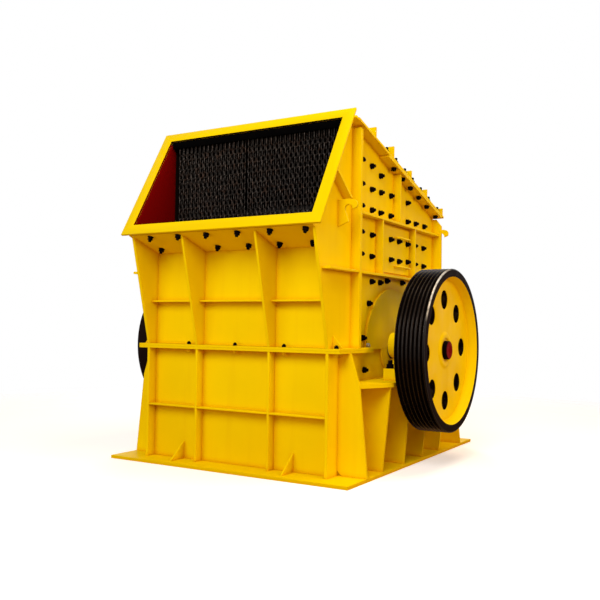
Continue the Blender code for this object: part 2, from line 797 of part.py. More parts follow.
def aprons():
    """The two aprons stand clear of the circle of the blow bars, above the rotor and behind it."""
    room = upper_rear - wall_thick - shaft_depth
    spot = bar_tip + apron_clear
    tip = (shaft_depth + 0.41 * room, shaft_height + 1.4 * spot - 0.41 * room)
    bend = (tip[0] - 0.18 * room, tip[1] + apron_bend)
    pivot = (tip[0] - 0.24 * room, roof_under(tip[0]) - apron_head)
    apron("impact_apron_front", pivot, [pivot, bend, tip])
    tip = (shaft_depth + 0.65 * room, shaft_height + 1.25 * spot - 0.65 * room)
    bend = (shaft_depth + 0.85 * room, tip[1] + apron_bend)
    pivot = (shaft_depth + 0.81 * room, tip[1] + apron_drop)
    apron("impact_apron_rear", pivot, [pivot, bend, tip])


def rotor():
    """The shaft, the core with its four discs, the blow bars, and the wheel on each shaft end."""
    axis = bpy.data.objects.new("rotor_axis", None)
    axis.location = (0, y_at(shaft_depth), shaft_height)
    machine.objects.link(axis)
    half = inner_half - rotor_clear
    hub_half = half + wall_thick
    right_end = half_width + flywheel_reach + shaft_proud
    left_end = half_width + pulley_reach + pulley_width
    chamfer = 0.004
    profile = [
        (0, right_end), (journal_radius - chamfer, right_end), (journal_radius, right_end - chamfer),
        (journal_radius, hub_half), (hub_radius, hub_half), (hub_radius, -hub_half),
        (journal_radius, -hub_half), (journal_radius, chamfer - left_end),
        (journal_radius - chamfer, -left_end), (0, -left_end),
    ]
    shaft = turned("rotor_shaft", profile, (0, 0, 0), closed=False)
    ring = [(core_radius, half), (core_radius, -half), (hub_radius + gap, -half), (hub_radius + gap, half)]
    core = turned("rotor_core", ring, (0, 0, 0), sides=48)
    discs = []
    slots = []
    spacing = (2 * half - disc_thick) / (disc_count - 1)
    bore = core_radius + gap
    ring = [(disc_radius, disc_thick), (disc_radius, 0), (bore, 0), (bore, disc_thick)]
    for index in range(disc_count):
        disc = turned(f"rotor_disc_{index + 1}", ring, (index * spacing - half, 0, 0), sides=48)
        cuts = four_bars(f"{disc.name}_slot", half, gap)
        combine(disc, cuts, "DIFFERENCE")
        discs.append(disc)
        slots += cuts
    bars = four_bars("blow_bar", half)
    for piece in (shaft, core, *discs, *bars):
        paint(piece, "steel")
    for piece in (shaft, core, *discs, *slots, *bars, *wheels()):
        piece.parent = axis


def four_bars(name, half, grow=0.0):
    """The blow bars about the rotor's axis, or the slots that hold them when they are grown."""
    bars = []
    for index in range(4):
        low = (-half, -bar_half - grow, bar_root - grow)
        bar = block(f"{name}_{index + 1}", low, (half, bar_half + grow, bar_tip))
        for corner in bar.data.vertices:
            corner.co += bar.location
        bar.location = (0, 0, 0)
        bar.rotation_euler = (math.pi / 4 + index * math.pi / 2, 0, 0)
        bars.append(bar)
    return bars


def grooved_rim():
    """V-grooves for wide V-belts, from the wheel's face down to its back."""
    top_half = 0.437 * groove_pitch
    bottom_half = 0.147 * groove_pitch
    depth = 0.84 * groove_pitch
    edge = (pulley_width - (groove_count - 1) * groove_pitch) / 2
    bevel = 0.003
    points = [(wheel_radius - bevel, pulley_width), (wheel_radius, pulley_width - bevel)]
    for index in range(groove_count):
        middle = pulley_width - edge - index * groove_pitch
        points += [
            (wheel_radius, middle + top_half), (wheel_radius - depth, middle + bottom_half),
            (wheel_radius - depth, middle - bottom_half), (wheel_radius, middle - top_half),
        ]
    points += [(wheel_radius, bevel), (wheel_radius - bevel, 0)]
    return points


def web_profile(front, back, width):
    """The inside of a wheel: rim, recessed web and hub, from its back round to its face."""
    bore = journal_radius + 0.0002
    hub = 1.9 * journal_radius
    return [
        (wheel_radius - 0.047, 0), (wheel_radius - 0.061, back), (hub + 0.004, back), (hub, back - 0.060),
        (bore, back - 0.060), (bore, front + 0.008), (hub - 0.004, front + 0.008), (hub + 0.002, front),
        (wheel_radius - 0.069, front), (wheel_radius - 0.055, width),
    ]


def wheels():
    """The grooved drive pulley on the right, and the plain flywheel on the left."""
    face = 0.068
    web = 0.040
    pulley_back = half_width + pulley_reach
    flywheel_back = half_width + flywheel_reach - flywheel_width
    front = pulley_width - face
    profile = grooved_rim() + web_profile(front, front - web, pulley_width)
    pulley = turned("drive_pulley", profile, (pulley_back, 0, 0))
    front = flywheel_width - 0.050
    bevel = 0.003
    rim = [
        (wheel_radius - bevel, flywheel_width), (wheel_radius, flywheel_width - bevel),
        (wheel_radius, bevel), (wheel_radius - bevel, 0),
    ]
    profile = rim + web_profile(front, front - web, flywheel_width)
    flywheel = turned("flywheel", profile, (-flywheel_back, 0, 0), flip=True)
    pieces = [pulley, flywheel]
    length = 2 * pulley_width
    for wheel, x in ((pulley, pulley_back), (flywheel, -flywheel_back)):
        paint(wheel, "black")
        holes = []
        for index in range(8):
            angle = index * math.pi / 4
            place = (x, wheel_hole_pitch * math.cos(angle), wheel_hole_pitch * math.sin(angle))
            holes.append(cylinder(f"{wheel.name}_hole_{index}", wheel_hole_radius, length, place, sides=20))
        combine(wheel, holes, "DIFFERENCE")
        pieces += holes
    return pieces


def main():
    base()
    lower_panel("lower_front_panel", foot_margin, 1)
    lower_panel("lower_rear_panel", rear_foot, -1)
    for word, side in (("left", -1), ("right", 1)):
        lower_side(f"lower_side_{word}", side)
        pedestal(f"bearing_pedestal_{word}", side)
        hopper_side(f"hopper_side_{word}", side)
        rear_side(f"rear_side_{word}", side)
        inspection_cover(word, side)
        shaft_cover(f"shaft_cover_upper_{word}", side, True)
        shaft_cover(f"shaft_cover_lower_{word}", side, False)
        bearing(word, side)
    low_middle = split_low + flange_thick / 2
    high_middle = split_high - flange_thick / 2
    split_flange("lower_flange_front", flange_margin, cover_start - gap, foot_margin + wall_thick, low_middle)
    split_flange("lower_flange_rear", flange_rear, cover_end + gap, rear_foot - wall_thick, low_middle)
    split_flange("upper_flange_front", flange_margin, cover_start - gap, upper_front + wall_thick, high_middle)
    split_flange("upper_flange_rear", flange_rear, cover_end + gap, upper_rear - wall_thick, high_middle)
    upper_front_panel()
    mouth()
    chute_floor()
    rear_panel()
    roof()
    liners()
    curtain()
    aprons()
    rotor()


main()
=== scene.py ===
import math
import random

import bmesh
import bpy
from mathutils import Matrix, Vector


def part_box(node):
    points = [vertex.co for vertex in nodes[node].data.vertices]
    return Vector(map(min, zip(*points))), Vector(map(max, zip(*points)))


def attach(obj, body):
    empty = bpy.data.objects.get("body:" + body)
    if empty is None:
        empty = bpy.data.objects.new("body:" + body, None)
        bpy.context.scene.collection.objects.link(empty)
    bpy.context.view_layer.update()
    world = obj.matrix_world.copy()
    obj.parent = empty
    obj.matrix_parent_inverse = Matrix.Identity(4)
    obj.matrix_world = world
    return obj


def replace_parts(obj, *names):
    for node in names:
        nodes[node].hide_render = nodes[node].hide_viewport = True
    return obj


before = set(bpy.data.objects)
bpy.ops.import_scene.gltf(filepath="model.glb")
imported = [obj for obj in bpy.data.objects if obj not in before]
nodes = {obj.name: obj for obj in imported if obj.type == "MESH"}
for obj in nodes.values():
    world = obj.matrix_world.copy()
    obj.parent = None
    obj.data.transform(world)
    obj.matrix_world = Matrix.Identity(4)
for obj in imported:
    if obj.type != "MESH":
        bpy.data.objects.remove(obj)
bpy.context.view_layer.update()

# Impact crusher: the paint, fasteners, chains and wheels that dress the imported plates.
scene = bpy.context.scene
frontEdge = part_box("base_flange")[0].y
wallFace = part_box("lower_side_right")[1].x
print("frame:", len(nodes), "nodes, front edge at", round(frontEdge, 4))


def at(x, depth, height):
    # Depths run back from the base plate's front edge.
    return Vector((x, frontEdge + depth, height))


roofFall = 0.27739  # of the roof, for each metre of depth
chuteFall = 0.34463  # of the chute's floor, for each metre of depth
seat = 0.0005  # how far a nut or a cover is set into its plate
axle = {"depth": 1.061, "height": 0.810, "radius": 0.065}
axleCentre = at(0, axle["depth"], axle["height"])


def startFinish(name):
    finish = bpy.data.materials.new(name)
    finish.use_nodes = True
    tree = finish.node_tree
    coords = tree.nodes.new("ShaderNodeTexCoord").outputs["Object"]
    return finish, tree, tree.nodes["Principled BSDF"], coords


def plug(tree, socket, value):
    if isinstance(value, bpy.types.NodeSocket):
        tree.links.new(value, socket)
    elif socket.type == "RGBA" and len(value) == 3:
        socket.default_value = (*value, 1)
    else:
        socket.default_value = value


def addNode(tree, kind, inputs, **settings):
    made = tree.nodes.new(kind)
    for key, value in settings.items():
        setattr(made, key, value)
    for key, value in inputs.items():
        plug(tree, made.inputs[key], value)
    return made


def grain(tree, coords, scale, detail=2.0, stretch=None):
    if stretch:
        coords = addNode(tree, "ShaderNodeMapping", {"Vector": coords, "Scale": stretch}).outputs[0]
    return addNode(tree, "ShaderNodeTexNoise", {"Vector": coords, "Scale": scale, "Detail": detail}).outputs[0]


def spread(tree, value, fromLow, fromHigh, toLow, toHigh):
    inputs = {"Value": value, "From Min": fromLow, "From Max": fromHigh, "To Min": toLow, "To Max": toHigh}
    return addNode(tree, "ShaderNodeMapRange", inputs).outputs[0]


def blendShades(tree, amount, first, second):
    return addNode(tree, "ShaderNodeMix", {0: amount, 6: first, 7: second}, data_type="RGBA").outputs[2]


def bumps(tree, height, distance, strength=1.0, over=None):
    inputs = {"Height": height, "Distance": distance, "Strength": strength}
    if over:
        inputs["Normal"] = over
    return addNode(tree, "ShaderNodeBump", inputs).outputs[0]


def softEdge(tree, radius):
    return addNode(tree, "ShaderNodeBevel", {"Radius": radius}, samples=4).outputs[0]


def paintedCornerShadeMask(tree, reach):
    # Mask for painted shade: 1 in the inner corners between plates, 0 on open faces.
    closed, clear = 0.35, 0.95
    shade = addNode(tree, "ShaderNodeAmbientOcclusion", {"Distance": reach}, samples=4).outputs["AO"]
    return spread(tree, shade, closed, clear, 1.0, 0.0)


def calc(tree, operation, first, second=0.0):
    return addNode(tree, "ShaderNodeMath", {0: first, 1: second}, operation=operation).outputs[0]


# roofUnder and floorTop: heights at depth 0. cornerFall and cornerTop: the plane that a painted shadow in the upper
# corner lies behind. shade: the near-black painted shade behind the curtain and in that corner
inside = {"roofUnder": 2.4142, "floorTop": 1.5630, "half": 0.7203, "rear": 1.9006, "curtain": 0.362,
          "cornerFall": 1.265, "cornerTop": 2.7047,
          "chuteShade": (0.16, 0.0011, 0.001), "shade": (0.010, 0.007, 0.006)}


def insideHousing(tree, coords, size):
    # Two masks: the red faces inside the chute, and the faces under the roof and behind the curtain that get painted
    # shade.
    axes = addNode(tree, "ShaderNodeSeparateXYZ", {0: coords}).outputs
    depth = calc(tree, "SUBTRACT", axes[1], frontEdge)
    roofUnder = calc(tree, "ADD", calc(tree, "MULTIPLY", depth, -roofFall), size["roofUnder"])
    floorTop = calc(tree, "ADD", calc(tree, "MULTIPLY", depth, -chuteFall), size["floorTop"])
    room = calc(tree, "LESS_THAN", axes[2], roofUnder)
    room = calc(tree, "MULTIPLY", room, calc(tree, "LESS_THAN", calc(tree, "ABSOLUTE", axes[0]), size["half"]))
    room = calc(tree, "MULTIPLY", room, calc(tree, "LESS_THAN", depth, size["rear"]))
    behind = calc(tree, "GREATER_THAN", depth, size["curtain"])
    # Painted shade behind the curtain, and a painted shadow above the sloping plane of the upper corner.
    underRoof = calc(tree, "ADD", calc(tree, "MULTIPLY", depth, size["cornerFall"]), axes[2])
    dark = calc(tree, "MAXIMUM", behind, calc(tree, "GREATER_THAN", underRoof, size["cornerTop"]))
    chute = calc(tree, "MULTIPLY", room, calc(tree, "GREATER_THAN", axes[2], floorTop))
    return calc(tree, "MULTIPLY", chute, calc(tree, "SUBTRACT", 1.0, dark)), calc(tree, "MULTIPLY", room, dark)


noiseRange = (0.3, 0.7)  # what a noise texture mostly stays between
coat = {"patches": 1.9, "streakStretch": (16, 16, 1.3), "streakRange": (0.52, 0.78), "paintedShadeReach": 0.035,
        "sheen": 14, "wave": 4.5, "waveDepth": 0.0014, "edge": 0.003, "peel": 420, "peelDepth": 0.00012}


def enamel(name, look):
    # Sprayed machine enamel: uneven coats, painted shade in the inner corners and inside the housing, orange peel
    # and slightly wavy plate.
    finish, tree, shader, coords = startFinish(name)
    patches = spread(tree, grain(tree, coords, coat["patches"], 4), *noiseRange, 0, 1)
    shade = blendShades(tree, patches, look["light"], look["deep"])
    streaks = grain(tree, coords, 1.0, 5, coat["streakStretch"])
    shade = blendShades(tree, spread(tree, streaks, *coat["streakRange"], 0, look["dust"]), shade,
                        look["dustShade"])
    # Painted shade: the inner corners are darkened towards a deep orange.
    corner = calc(tree, "MULTIPLY", paintedCornerShadeMask(tree, coat["paintedShadeReach"]), look["corner"])
    shade = blendShades(tree, corner, shade, look["paintedShadeInCorners"])
    if look.get("inHousing"):
        chute, paintedShadeInside = insideHousing(tree, coords, inside)
        shade = blendShades(tree, chute, shade, inside["chuteShade"])
        # Painted shade: the chamber behind the curtain and the upper corner are darkened nearly to black.
        shade = blendShades(tree, paintedShadeInside, shade, inside["shade"])
    plug(tree, shader.inputs["Base Color"], shade)
    sheen = spread(tree, grain(tree, coords, coat["sheen"], 4), *noiseRange, *look["roughness"])
    plug(tree, shader.inputs["Roughness"], sheen)
    shader.inputs["Specular IOR Level"].default_value = look["gloss"]
    shader.inputs["Specular Tint"].default_value = (*look.get("sheenShade", (1, 1, 1)), 1)
    wave = bumps(tree, grain(tree, coords, coat["wave"], 1), coat["waveDepth"], 0.5, softEdge(tree, coat["edge"]))
    peel = bumps(tree, grain(tree, coords, coat["peel"], 2), coat["peelDepth"], look.get("peel", 0.6), wave)
    plug(tree, shader.inputs["Normal"], peel)
    return finish


# The rust's and the pits' grain are shares of the look's own scale.
wear = {"span": 0.2, "rustScale": 0.37, "rustRange": (0.5, 0.75), "pitScale": 4, "edge": 0.001}


def metal(name, look):
    # Bare or blacked steel with rubbed and rusty patches.
    finish, tree, shader, coords = startFinish(name)
    rubbedAndHighlight = grain(tree, coords, look["scale"], 5)
    worn = spread(tree, rubbedAndHighlight, look["wornAndHighlightFrom"], look["wornAndHighlightFrom"] + wear["span"], 0, 1)
    shade = blendShades(tree, worn, look["dark"], look["worn"])
    rusty = grain(tree, coords, look["scale"] * wear["rustScale"], 3)
    rusty = spread(tree, rusty, *wear["rustRange"], 0, look["rustiness"])
    plug(tree, shader.inputs["Base Color"], blendShades(tree, rusty, shade, look["rust"]))
    smooth, rough = look["roughness"]
    plug(tree, shader.inputs["Roughness"], spread(tree, worn, 0, 1, rough, smooth))
    shader.inputs["Metallic"].default_value = look["metallic"]
    shader.inputs["Specular IOR Level"].default_value = look.get("gloss", 0.5)
    pits = grain(tree, coords, look["scale"] * wear["pitScale"], 3)
    plug(tree, shader.inputs["Normal"], bumps(tree, pits, look["pits"], 0.5, softEdge(tree, wear["edge"])))
    return finish


# towards: the side of the wheel's edge that gets a painted highlight; wornAndHighlightFrom: cosines of the angle
# from it, fading in
rimHighlightLook = {"towards": (0, -0.62, 0.785), "wornAndHighlightFrom": (0.85, 0.97), "highlightBreakup": 30, "highlightBreakupRange": (0.3, 0.55),
            "leastHighlight": 0.45, "sheen": 90, "roughness": (0.25, 0.45), "gloss": 0.08, "pits": 300,
            "pitDepth": 0.0001, "paint": (0.006, 0.004, 0.003), "steel": (0.62, 0.56, 0.46)}


def paintedRimHighlight(name, look):
    # A painted highlight: bright steel laid on the upper front part of a wheel's edge, where the lamps' glint falls,
    # broken up by noise.
    finish, tree, shader, coords = startFinish(name)
    away = addNode(tree, "ShaderNodeVectorMath", {0: coords, 1: axleCentre}, operation="SUBTRACT")
    away = addNode(tree, "ShaderNodeVectorMath", {0: away.outputs[0], 1: (0, 1, 1)}, operation="MULTIPLY")
    away = addNode(tree, "ShaderNodeVectorMath", {0: away.outputs[0]}, operation="NORMALIZE")
    inputs = {0: away.outputs[0], 1: look["towards"]}
    towards = addNode(tree, "ShaderNodeVectorMath", inputs, operation="DOT_PRODUCT").outputs["Value"]
    highlightBreakup = spread(tree, grain(tree, coords, look["highlightBreakup"], 4), *look["highlightBreakupRange"], look["leastHighlight"], 1)
    # Painted highlight: strongest where the edge faces up and to the front; steel is its bright colour.
    worn = calc(tree, "MULTIPLY", spread(tree, towards, *look["wornAndHighlightFrom"], 0, 1), highlightBreakup)
    plug(tree, shader.inputs["Base Color"], blendShades(tree, worn, look["paint"], look["steel"]))
    plug(tree, shader.inputs["Metallic"], worn)
    sheen = spread(tree, grain(tree, coords, look["sheen"], 3), *noiseRange, *look["roughness"])
    plug(tree, shader.inputs["Roughness"], sheen)
    shader.inputs["Specular IOR Level"].default_value = look["gloss"]
    plug(tree, shader.inputs["Normal"], bumps(tree, grain(tree, coords, look["pits"], 2), look["pitDepth"], 0.4))
    return finish


# paintedShadeInCorners is the painted shade's colour in the inner corners, and corner is how much of it is laid
# there.
enamelLooks = {
    "yellow_enamel": {
        "light": (0.90, 0.675, 0.0008), "deep": (0.88, 0.640, 0.0008), "dustShade": (0.80, 0.53, 0.003),
        "paintedShadeInCorners": (0.72, 0.28, 0.0008), "corner": 0.6, "dust": 0.3, "roughness": (0.36, 0.48), "gloss": 0.035,
        "sheenShade": (1.0, 0.75, 0.08), "inHousing": True,
    },
    # A copy of the body's yellow enamel whose colour is set for the light falling on the up-facing feed frame, with
    # less painted corner shade.
    "mouth_enamel_lit_copy": {
        "light": (0.83, 0.620, 0.001), "deep": (0.82, 0.60, 0.001), "dustShade": (0.79, 0.57, 0.003),
        "paintedShadeInCorners": (0.84, 0.50, 0.001), "corner": 0.2, "dust": 0.1, "roughness": (0.34, 0.44), "gloss": 0.04,
        "sheenShade": (1.0, 0.85, 0.08),
    },
    "red_enamel": {
        "light": (0.175, 0.0012, 0.001), "deep": (0.145, 0.001, 0.0008), "dustShade": (0.12, 0.006, 0.004),
        "paintedShadeInCorners": (0.05, 0.0006, 0.0005), "corner": 0.7, "dust": 0.3, "roughness": (0.45, 0.6), "gloss": 0.01,
        "inHousing": True,
    },
    "black_enamel": {
        "light": (0.0060, 0.0036, 0.0028), "deep": (0.0045, 0.0026, 0.0020), "dustShade": (0.012, 0.008, 0.006),
        "paintedShadeInCorners": (0.0015, 0.001, 0.0008), "corner": 0.6, "dust": 0.1, "roughness": (0.20, 0.28), "gloss": 0.2,
        "sheenShade": (1.0, 0.85, 0.75), "peel": 0.2,
    },
    "black_face": {
        "light": (0.011, 0.0060, 0.0052), "deep": (0.008, 0.0044, 0.0038), "dustShade": (0.016, 0.010, 0.008),
        "paintedShadeInCorners": (0.003, 0.002, 0.0016), "corner": 0.6, "dust": 0.2, "roughness": (0.45, 0.6), "gloss": 0.008,
        "peel": 0.3,
    },
}
metalLooks = {
    "blacked_bolts": {
        "dark": (0.0018, 0.0010, 0.0014), "worn": (0.006, 0.0045, 0.005), "rust": (0.010, 0.004, 0.002),
        "rustiness": 0.3, "scale": 120, "wornAndHighlightFrom": 0.55, "roughness": (0.4, 0.55), "metallic": 0.0, "pits": 0.0002,
        "gloss": 0.02,
    },
    # Black paint darkened almost to no light at all, so that it also stands in for shade: painted shade on the rail
    # and the roof lip.
    "black_and_painted_shade": {
        "dark": (0.0006, 0.0005, 0.0006), "worn": (0.0016, 0.0012, 0.0012), "rust": (0.004, 0.002, 0.001),
        "rustiness": 0.2, "scale": 60, "wornAndHighlightFrom": 0.6, "roughness": (0.5, 0.65), "metallic": 0.0, "pits": 0.0002,
        "gloss": 0.006,
    },
    "chain_steel": {
        "dark": (0.014, 0.0118, 0.0100), "worn": (0.060, 0.050, 0.043), "rust": (0.075, 0.036, 0.020),
        "rustiness": 0.5, "scale": 60, "wornAndHighlightFrom": 0.45, "roughness": (0.35, 0.55), "metallic": 0.4, "pits": 0.0003,
        "gloss": 0.1,
    },
    "turned_steel": {
        "dark": (0.30, 0.29, 0.28), "worn": (0.50, 0.49, 0.47), "rust": (0.22, 0.13, 0.08),
        "rustiness": 0.2, "scale": 60, "wornAndHighlightFrom": 0.45, "roughness": (0.25, 0.4), "metallic": 1.0, "pits": 0.0001,
    },
    "wear_steel": {
        "dark": (0.06, 0.055, 0.05), "worn": (0.20, 0.19, 0.18), "rust": (0.12, 0.06, 0.035),
        "rustiness": 0.6, "scale": 25, "wornAndHighlightFrom": 0.5, "roughness": (0.35, 0.6), "metallic": 0.8, "pits": 0.0008,
    },
    "zinc_plug": {
        "dark": (0.35, 0.35, 0.34), "worn": (0.55, 0.55, 0.54), "rust": (0.3, 0.27, 0.22),
        "rustiness": 0.2, "scale": 150, "wornAndHighlightFrom": 0.5, "roughness": (0.3, 0.45), "metallic": 0.9, "pits": 0.0001,
    },
}
finishes = {name: enamel(name, look) for name, look in enamelLooks.items()}
finishes.update({name: metal(name, look) for name, look in metalLooks.items()})
finishes["rim_painted_highlight"] = paintedRimHighlight("rim_painted_highlight", rimHighlightLook)
print("finishes:", ", ".join(finishes))

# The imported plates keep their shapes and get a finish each.
wearPlates = ["rotor_core", "impact_apron_front", "impact_apron_rear"]
wearPlates += [f"{kind}_{index}" for kind in ("rotor_disc", "blow_bar") for index in (1, 2, 3, 4)]
plateFinish = {name: "wear_steel" for name in wearPlates}
plateFinish.update({"mouth_frame": "mouth_enamel_lit_copy", "chain_bar": "black_and_painted_shade", "floor_liner": "red_enamel",
                    "side_liner_left": "red_enamel", "side_liner_right": "red_enamel"})
for nodeName, plateObject in nodes.items():
    plateObject.data.materials.clear()
    plateObject.data.materials.append(finishes[plateFinish.get(nodeName, "yellow_enamel")])
print("plates painted")


def meshOf(name, shape):
    mesh = bpy.data.meshes.new(name)
    shape.to_mesh(mesh)
    shape.free()
    return mesh


def finishPiece(name, shape, looks, body, sharp=35):
    # sharp: degrees between two faces from which their edge stays sharp
    bmesh.ops.recalc_face_normals(shape, faces=shape.faces)
    mesh = meshOf(name, shape)
    mesh.shade_smooth()
    mesh.set_sharp_from_angle(angle=math.radians(sharp))
    piece = bpy.data.objects.new(name, mesh)
    scene.collection.objects.link(piece)
    for look in looks:
        mesh.materials.append(finishes[look])
    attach(piece, body)
    return piece


def easeEdges(shape, edges, width, steps=2):
    bmesh.ops.bevel(shape, geom=edges, offset=width, segments=steps, profile=0.5, affect="EDGES", material=-1)


def sharpEdges(shape, above=1.0):
    # above: radians between an edge's two faces
    return [edge for edge in shape.edges if edge.calc_face_angle(0) > above]


def stamp(shape, template, place):
    known = len(shape.verts)
    shape.from_mesh(template)
    shape.verts.ensure_lookup_table()
    bmesh.ops.transform(shape, matrix=place, verts=shape.verts[known:])


def pushOut(shape, faces, along):
    # Makes a plate of flat faces.
    made = bmesh.ops.extrude_face_region(shape, geom=faces)["geom"]
    bmesh.ops.translate(shape, vec=along, verts=[item for item in made if isinstance(item, bmesh.types.BMVert)])


def addPlate(shape, x, width, depths, heights):
    # depths: front and back; heights: low and high
    middle = at(x, sum(depths) / 2, sum(heights) / 2)
    scale = Matrix.Diagonal((width, depths[1] - depths[0], heights[1] - heights[0], 1))
    bmesh.ops.create_cube(shape, size=1, matrix=Matrix.Translation(middle) @ scale)


def addRound(shape, radius, length, foot, sides, chamfer):
    # A short round or hexagonal bar standing on z = foot.
    middle = Matrix.Translation((0, 0, foot + length / 2))
    made = bmesh.ops.create_cone(
        shape, cap_ends=True, segments=sides, radius1=radius, radius2=radius, depth=length, matrix=middle
    )
    top = [vert for vert in made["verts"] if abs(vert.co.z - foot - length) < 1e-6]
    rim = [edge for edge in shape.edges if edge.verts[0] in top and edge.verts[1] in top]
    easeEdges(shape, rim, chamfer)


# chamfers of the nut and the stud are shares of their widths
nutMake = {"washerSides": 20, "washerChamfer": 0.0006, "nutChamfer": 0.055, "studSides": 14, "studChamfer": 0.1}


def nutShape(size):
    shape = bmesh.new()
    across, stud, foot = size["across"], size["stud"], size["washerThick"]
    addRound(shape, size["washer"] / 2, foot, 0, nutMake["washerSides"], nutMake["washerChamfer"])
    addRound(shape, across / math.sqrt(3), size["nut"], foot, 6, across * nutMake["nutChamfer"])
    addRound(shape, stud / 2, size["nose"] + size["nut"], foot, nutMake["studSides"], stud * nutMake["studChamfer"])
    return meshOf("nut_template", shape)


def placeCopies(template, places):
    # places: (point on the plate, outward direction)
    shape = bmesh.new()
    for point, outward in places:
        turn = Matrix.Rotation(random.uniform(0, math.pi / 3), 4, "Z")
        stand = Vector(outward).to_track_quat("Z", "X").to_matrix().to_4x4()
        stamp(shape, template, Matrix.Translation(point) @ stand @ turn)
    return shape


random.seed(4)
nuts = {
    "wall": {"across": 0.034, "nut": 0.019, "washer": 0.042, "washerThick": 0.003, "stud": 0.022, "nose": 0.014},
    "small": {"across": 0.024, "nut": 0.013, "washer": 0.030, "washerThick": 0.003, "stud": 0.016, "nose": 0.006},
    "foot": {"across": 0.046, "nut": 0.024, "washer": 0.056, "washerThick": 0.006, "stud": 0.030, "nose": 0.026},
    "cover": {"across": 0.018, "nut": 0.007, "washer": 0.024, "washerThick": 0.002, "stud": 0.010, "nose": 0.001},
}
nuts["lid"] = {**nuts["wall"], "nose": 0.026}
nuts["head"] = {**nuts["wall"], "nut": 0.016, "nose": 0.003}
nuts["joint"] = {**nuts["small"], "across": 0.029, "washer": 0.031, "nut": 0.018, "stud": 0.018, "nose": 0.018}
nuts["plug"] = {**nuts["small"], "across": 0.030, "nut": 0.014, "washer": 0.034, "nose": 0.003}
nutTemplates = {name: nutShape(size) for name, size in nuts.items()}


def setNuts(name, kind, places, look="blacked_bolts"):
    finishPiece(name, placeCopies(nutTemplates[kind], places), [look], "housing")


bothSides = (("left", -1), ("right", 1))
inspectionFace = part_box("inspection_cover_right")[0].x + 0.012  # the cover plate's thickness
sideRows = {
    # depth and height of each nut on a side wall, by the plate that it stands on
    "wall_nuts": (wallFace, "wall", [
        (0.715, 2.078), (0.865, 2.036), (0.718, 1.916), (0.869, 1.918), (1.044, 1.921), (0.722, 1.773),
        (0.863, 1.772), (1.038, 1.773), (1.355, 1.915), (1.358, 1.770), (1.520, 1.774), (1.701, 1.774),
        (0.727, 1.600), (0.723, 1.451), (1.684, 1.597), (1.687, 1.453),
        (0.730, 1.278), (0.867, 1.278), (0.984, 1.296), (1.262, 1.297), (0.690, 1.126), (0.602, 0.890),
        (0.629, 0.673),
    ]),
    "cover_nuts": (inspectionFace, "wall", [
        (1.020, 1.599), (1.167, 1.599), (1.332, 1.594), (1.023, 1.453), (1.170, 1.451), (1.335, 1.460),
    ]),
    "edge_nuts": (wallFace, "small", [(1.545, 1.604), (1.548, 1.459)]),
}
for rowName, (face, nutKind, spots) in sideRows.items():
    for word, side in bothSides:
        places = [(at(side * (face - seat), depth, height), (side, 0, 0)) for depth, height in spots]
        setNuts(f"{rowName}_{word}", nutKind, places)

# The nuts stand on the lid's edge, and their bolts' heads hang under the flange, a little nearer the front.
lid = {"topHeight": 2.332, "startDepth": 0.354, "x": 0.788, "headX": 0.782, "headForward": 0.012,
       "headBelow": 0.0334, "depths": (0.861, 1.024, 1.188, 1.341, 1.509, 1.679, 1.877)}
roofUp = Vector((0, roofFall, 1)).normalized()


def roofTop(x, depth, below=0.0):
    height = lid["topHeight"] - roofFall * (depth - lid["startDepth"]) - below
    return at(x, depth, height)


lidPlaces, headPlaces = [], []
for side in (-1, 1):
    for depth in lid["depths"]:
        lidPlaces.append((roofTop(side * lid["x"], depth), roofUp))
        if depth > lid["depths"][0]:
            under = roofTop(side * lid["headX"], depth - lid["headForward"], lid["headBelow"])
            headPlaces.append((under, -roofUp))
setNuts("lid_nuts", "lid", lidPlaces)
setNuts("lid_bolt_heads", "head", headPlaces)

joint = {"x": 0.8010, "depth": 0.4535, "heights": (2.071, 1.912, 1.766, 1.593, 1.447)}
jointPlaces = [(at(side * joint["x"], joint["depth"], height), (0, 1, 0))
               for side in (-1, 1) for height in joint["heights"]]
setNuts("joint_nuts", "joint", jointPlaces)

# rows: a depth, and each nut's place across
chute = {"lipDepth": -0.088, "lipHeight": 1.577,
         "rows": ((-0.055, (-0.569, -0.323, -0.086, 0.164, 0.413, 0.673)),
                  (0.129, (-0.626, -0.376, -0.126, 0.129, 0.372, 0.621)))}
chuteDown = Vector((0, -chuteFall, -1)).normalized()
chutePlaces = []
for depth, row in chute["rows"]:
    height = chute["lipHeight"] - chuteFall * (depth - chute["lipDepth"])
    chutePlaces += [(at(x, depth, height), chuteDown) for x in row]
setNuts("chute_nuts", "wall", chutePlaces)

split = {"frontDepth": 0.167, "frontRow": (-0.394, 0.001, 0.391, 0.775),
         "rearDepth": 2.135, "rearRow": (-0.775, -0.391, 0.0, 0.394),
         "sideX": 0.785, "sideDepths": (1.60, 1.78, 1.96)}
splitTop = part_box("upper_flange_front")[1].z
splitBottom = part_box("lower_flange_front")[0].z
splitSpots = [(x, split["frontDepth"]) for x in split["frontRow"]]
splitSpots += [(x, split["rearDepth"]) for x in split["rearRow"]]
splitSpots += [(side * split["sideX"], depth) for side in (-1, 1) for depth in split["sideDepths"]]
upperSplit = [(at(x, depth, splitTop - seat), (0, 0, 1)) for x, depth in splitSpots]
lowerSplit = [(at(x, depth, splitBottom + seat), (0, 0, -1)) for x, depth in splitSpots]
setNuts("split_nuts_upper", "small", upperSplit)
setNuts("split_nuts_lower", "small", lowerSplit, "yellow_enamel")

